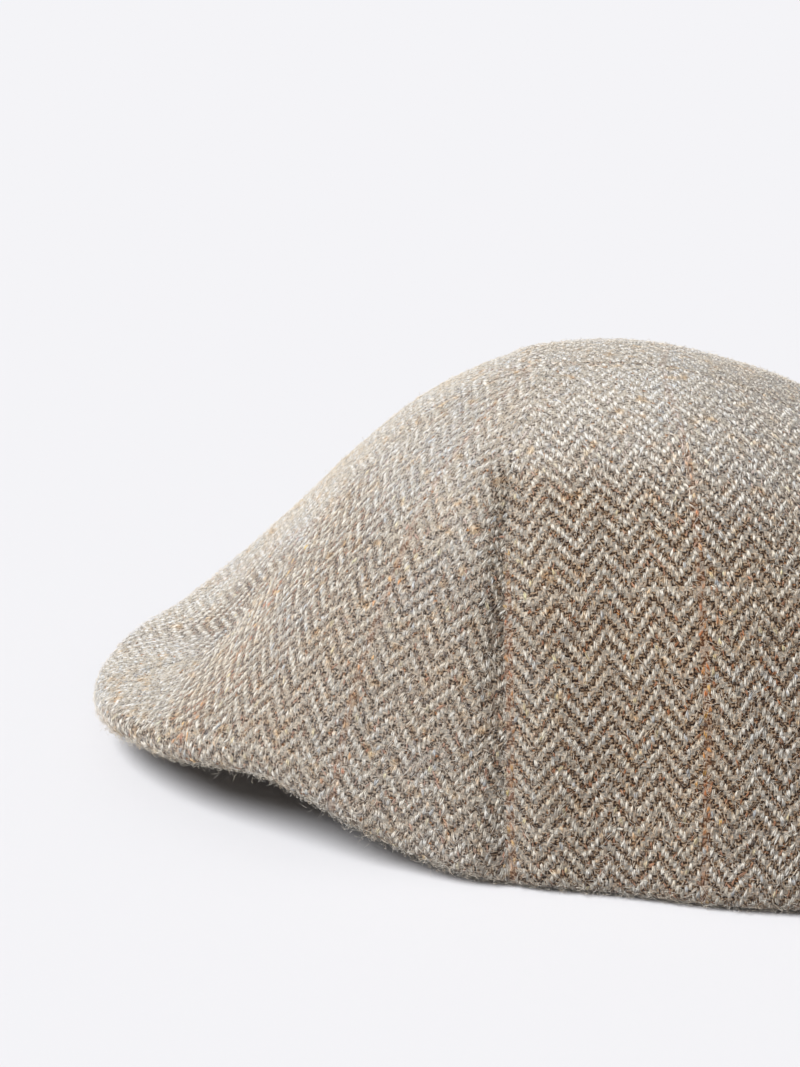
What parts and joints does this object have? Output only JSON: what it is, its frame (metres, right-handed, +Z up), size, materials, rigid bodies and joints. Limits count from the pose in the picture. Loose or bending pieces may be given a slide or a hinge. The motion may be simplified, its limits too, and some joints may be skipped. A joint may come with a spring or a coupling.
{
  "type": "flat cap",
  "caption": "Soft flat cap in fuzzy herringbone wool tweed: a rounded crown sewn from panels, with the front drawn down over a short drooping peak.",
  "frame": {"origin": "middle of the cap's bounding box, on the surface it rests on", "axes": "+Z up, +Y towards the back of the cap with the peak along -Y, +X towards the wearer's left"},
  "size_m": [0.1848, 0.2578, 0.0988],
  "materials": {
    "tweed": "brushed wool tweed, herringbone with a faint overcheck",
    "undercloth": "the same wool tweed on the underside of the peak"
  },
  "bodies": {
    "root": {"front_left": "tweed", "front_right": "tweed", "back_left": "tweed", "back_right": "tweed", "peak_under": "undercloth"}
  },
  "joints": []
}
